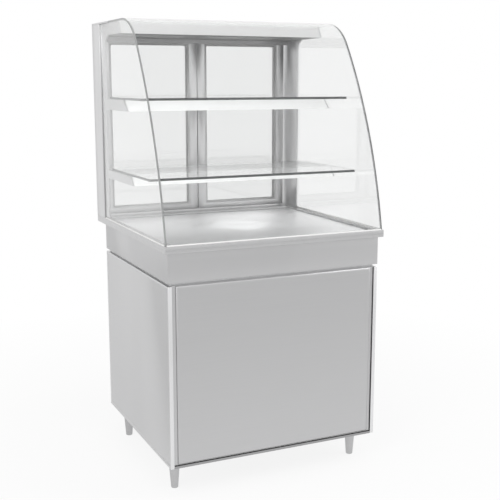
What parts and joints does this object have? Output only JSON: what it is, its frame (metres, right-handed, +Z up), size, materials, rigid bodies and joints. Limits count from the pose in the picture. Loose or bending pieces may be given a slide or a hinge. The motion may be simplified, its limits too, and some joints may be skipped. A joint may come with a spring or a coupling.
{
  "type": "refrigerated display case",
  "caption": "Counter-height refrigerated display case: steel cabinet on cone feet, bent glass front, glass shelves with lamps, and hinged rear doors.",
  "frame": {"origin": "on the floor under the middle of the worktop", "axes": "+X to the right of someone facing the front, +Y to the back, +Z up"},
  "size_m": [0.8, 0.778, 1.5646],
  "materials": {
    "satin_steel": "satin brushed stainless sheet",
    "frame_steel": "satin door profile",
    "zinc_steel": "galvanised sheet",
    "foot_steel": "satin turned foot",
    "clear_glass": "clear float glass",
    "white_bead": "white glazing profile",
    "opal_plastic": "opal lamp cover",
    "black_plastic": "moulded black",
    "rocker_plastic": "green rocker",
    "foam": "rigid foam",
    "black_enamel": "black enamel",
    "rubber": "black rubber",
    "aluminium_fins": "plain fins",
    "fan_metal": "pressed blades",
    "copper": "copper tube"
  },
  "bodies": {
    "cabinet": {"side_panel_left": "satin_steel", "side_panel_right": "satin_steel", "front_panel": "satin_steel", "front_frame": "satin_steel", "top_frame": "satin_steel", "service_panel": "satin_steel", "control_rail": "satin_steel", "well_casing": "satin_steel", "worktop": "satin_steel", "deck": "satin_steel", "post_left": "satin_steel", "post_right": "satin_steel", "bracket_plate_left": "satin_steel", "bracket_plate_right": "satin_steel", "canopy_housing": "satin_steel", "door_header": "satin_steel", "roof_panel": "satin_steel", "upper_shelf_carrier": "satin_steel", "lower_shelf_carrier": "satin_steel", "well_liner": "satin_steel", "base_pan": "zinc_steel", "fan_shroud": "zinc_steel", "door_pivots": "zinc_steel", "service_screws": "zinc_steel", "front_glass": "clear_glass", "side_glass_left": "clear_glass", "side_glass_right": "clear_glass", "upper_shelf_glass": "clear_glass", "lower_shelf_glass": "clear_glass", "canopy_diffuser": "opal_plastic", "upper_shelf_diffuser": "opal_plastic", "lower_shelf_diffuser": "opal_plastic", "thermostat": "black_plastic", "switch_housings": "black_plastic", "cable_gland": "black_plastic", "evaporator_fan_frame": "black_plastic", "well_foam": "foam", "compressor": "black_enamel", "condenser_fan_motor": "black_enamel", "compressor_grommets": "rubber", "condenser_coil": "aluminium_fins", "evaporator_coil": "aluminium_fins", "refrigerant_pipes": "copper"},
    "door_left": {"door_frame_left": "frame_steel", "door_bead_left": "white_bead", "door_panes_left": "clear_glass"},
    "door_right": {"door_frame_right": "frame_steel", "door_bead_right": "white_bead", "door_panes_right": "clear_glass"},
    "power_rocker": {"rocker_power": "rocker_plastic"},
    "lamp_rocker": {"rocker_lamps": "rocker_plastic"},
    "set_button": {"button_set": "black_plastic"},
    "down_button": {"button_down": "black_plastic"},
    "up_button": {"button_up": "black_plastic"},
    "condenser_fan_rotor": {"condenser_fan": "fan_metal"},
    "evaporator_fan_rotor": {"evaporator_fan": "black_plastic"},
    "front_left_foot": {"foot_front_left": "foot_steel"},
    "front_right_foot": {"foot_front_right": "foot_steel"},
    "rear_left_foot": {"foot_rear_left": "foot_steel"},
    "rear_right_foot": {"foot_rear_right": "foot_steel"}
  },
  "joints": [
    {"name": "door_left_hinge", "type": "hinge", "parent": "cabinet", "child": "door_left", "pos_m": [-0.3675, 0.36, 0.854], "axis": [0, 0, 1], "range_deg": [0, 95]},
    {"name": "door_right_hinge", "type": "hinge", "parent": "cabinet", "child": "door_right", "pos_m": [0.3675, 0.36, 0.854], "axis": [0, 0, -1], "range_deg": [0, 95]},
    {"name": "power_rocker_tilt", "type": "hinge", "parent": "cabinet", "child": "power_rocker", "pos_m": [0.06, 0.322, 0.678], "axis": [1, 0, 0], "range_deg": [0, 16]},
    {"name": "lamp_rocker_tilt", "type": "hinge", "parent": "cabinet", "child": "lamp_rocker", "pos_m": [0.1, 0.322, 0.678], "axis": [1, 0, 0], "range_deg": [0, 16]},
    {"name": "condenser_fan_spin", "type": "hinge", "parent": "cabinet", "child": "condenser_fan_rotor", "pos_m": [0.12, 0.245, 0.2375], "axis": [0, 1, 0], "continuous": true},
    {"name": "evaporator_fan_spin", "type": "hinge", "parent": "cabinet", "child": "evaporator_fan_rotor", "pos_m": [0.1875, 0.16, 0.7962], "axis": [1, 0, 0], "continuous": true},
    {"name": "set_button_press", "type": "slide", "parent": "cabinet", "child": "set_button", "axis": [0, -1, 0], "range_m": [0, 0.0008], "stiffness_N_per_m": 600},
    {"name": "down_button_press", "type": "slide", "parent": "cabinet", "child": "down_button", "axis": [0, -1, 0], "range_m": [0, 0.0008], "stiffness_N_per_m": 600},
    {"name": "up_button_press", "type": "slide", "parent": "cabinet", "child": "up_button", "axis": [0, -1, 0], "range_m": [0, 0.0008], "stiffness_N_per_m": 600},
    {"name": "front_left_foot_turn", "type": "hinge", "parent": "cabinet", "child": "front_left_foot", "pos_m": [-0.343, -0.282, 0], "axis": [0, 0, 1], "continuous": true},
    {"name": "front_right_foot_turn", "type": "hinge", "parent": "cabinet", "child": "front_right_foot", "pos_m": [0.343, -0.282, 0], "axis": [0, 0, 1], "continuous": true},
    {"name": "rear_left_foot_turn", "type": "hinge", "parent": "cabinet", "child": "rear_left_foot", "pos_m": [-0.343, 0.232, 0], "axis": [0, 0, 1], "continuous": true},
    {"name": "rear_right_foot_turn", "type": "hinge", "parent": "cabinet", "child": "rear_right_foot", "pos_m": [0.343, 0.232, 0], "axis": [0, 0, 1], "continuous": true}
  ]
}
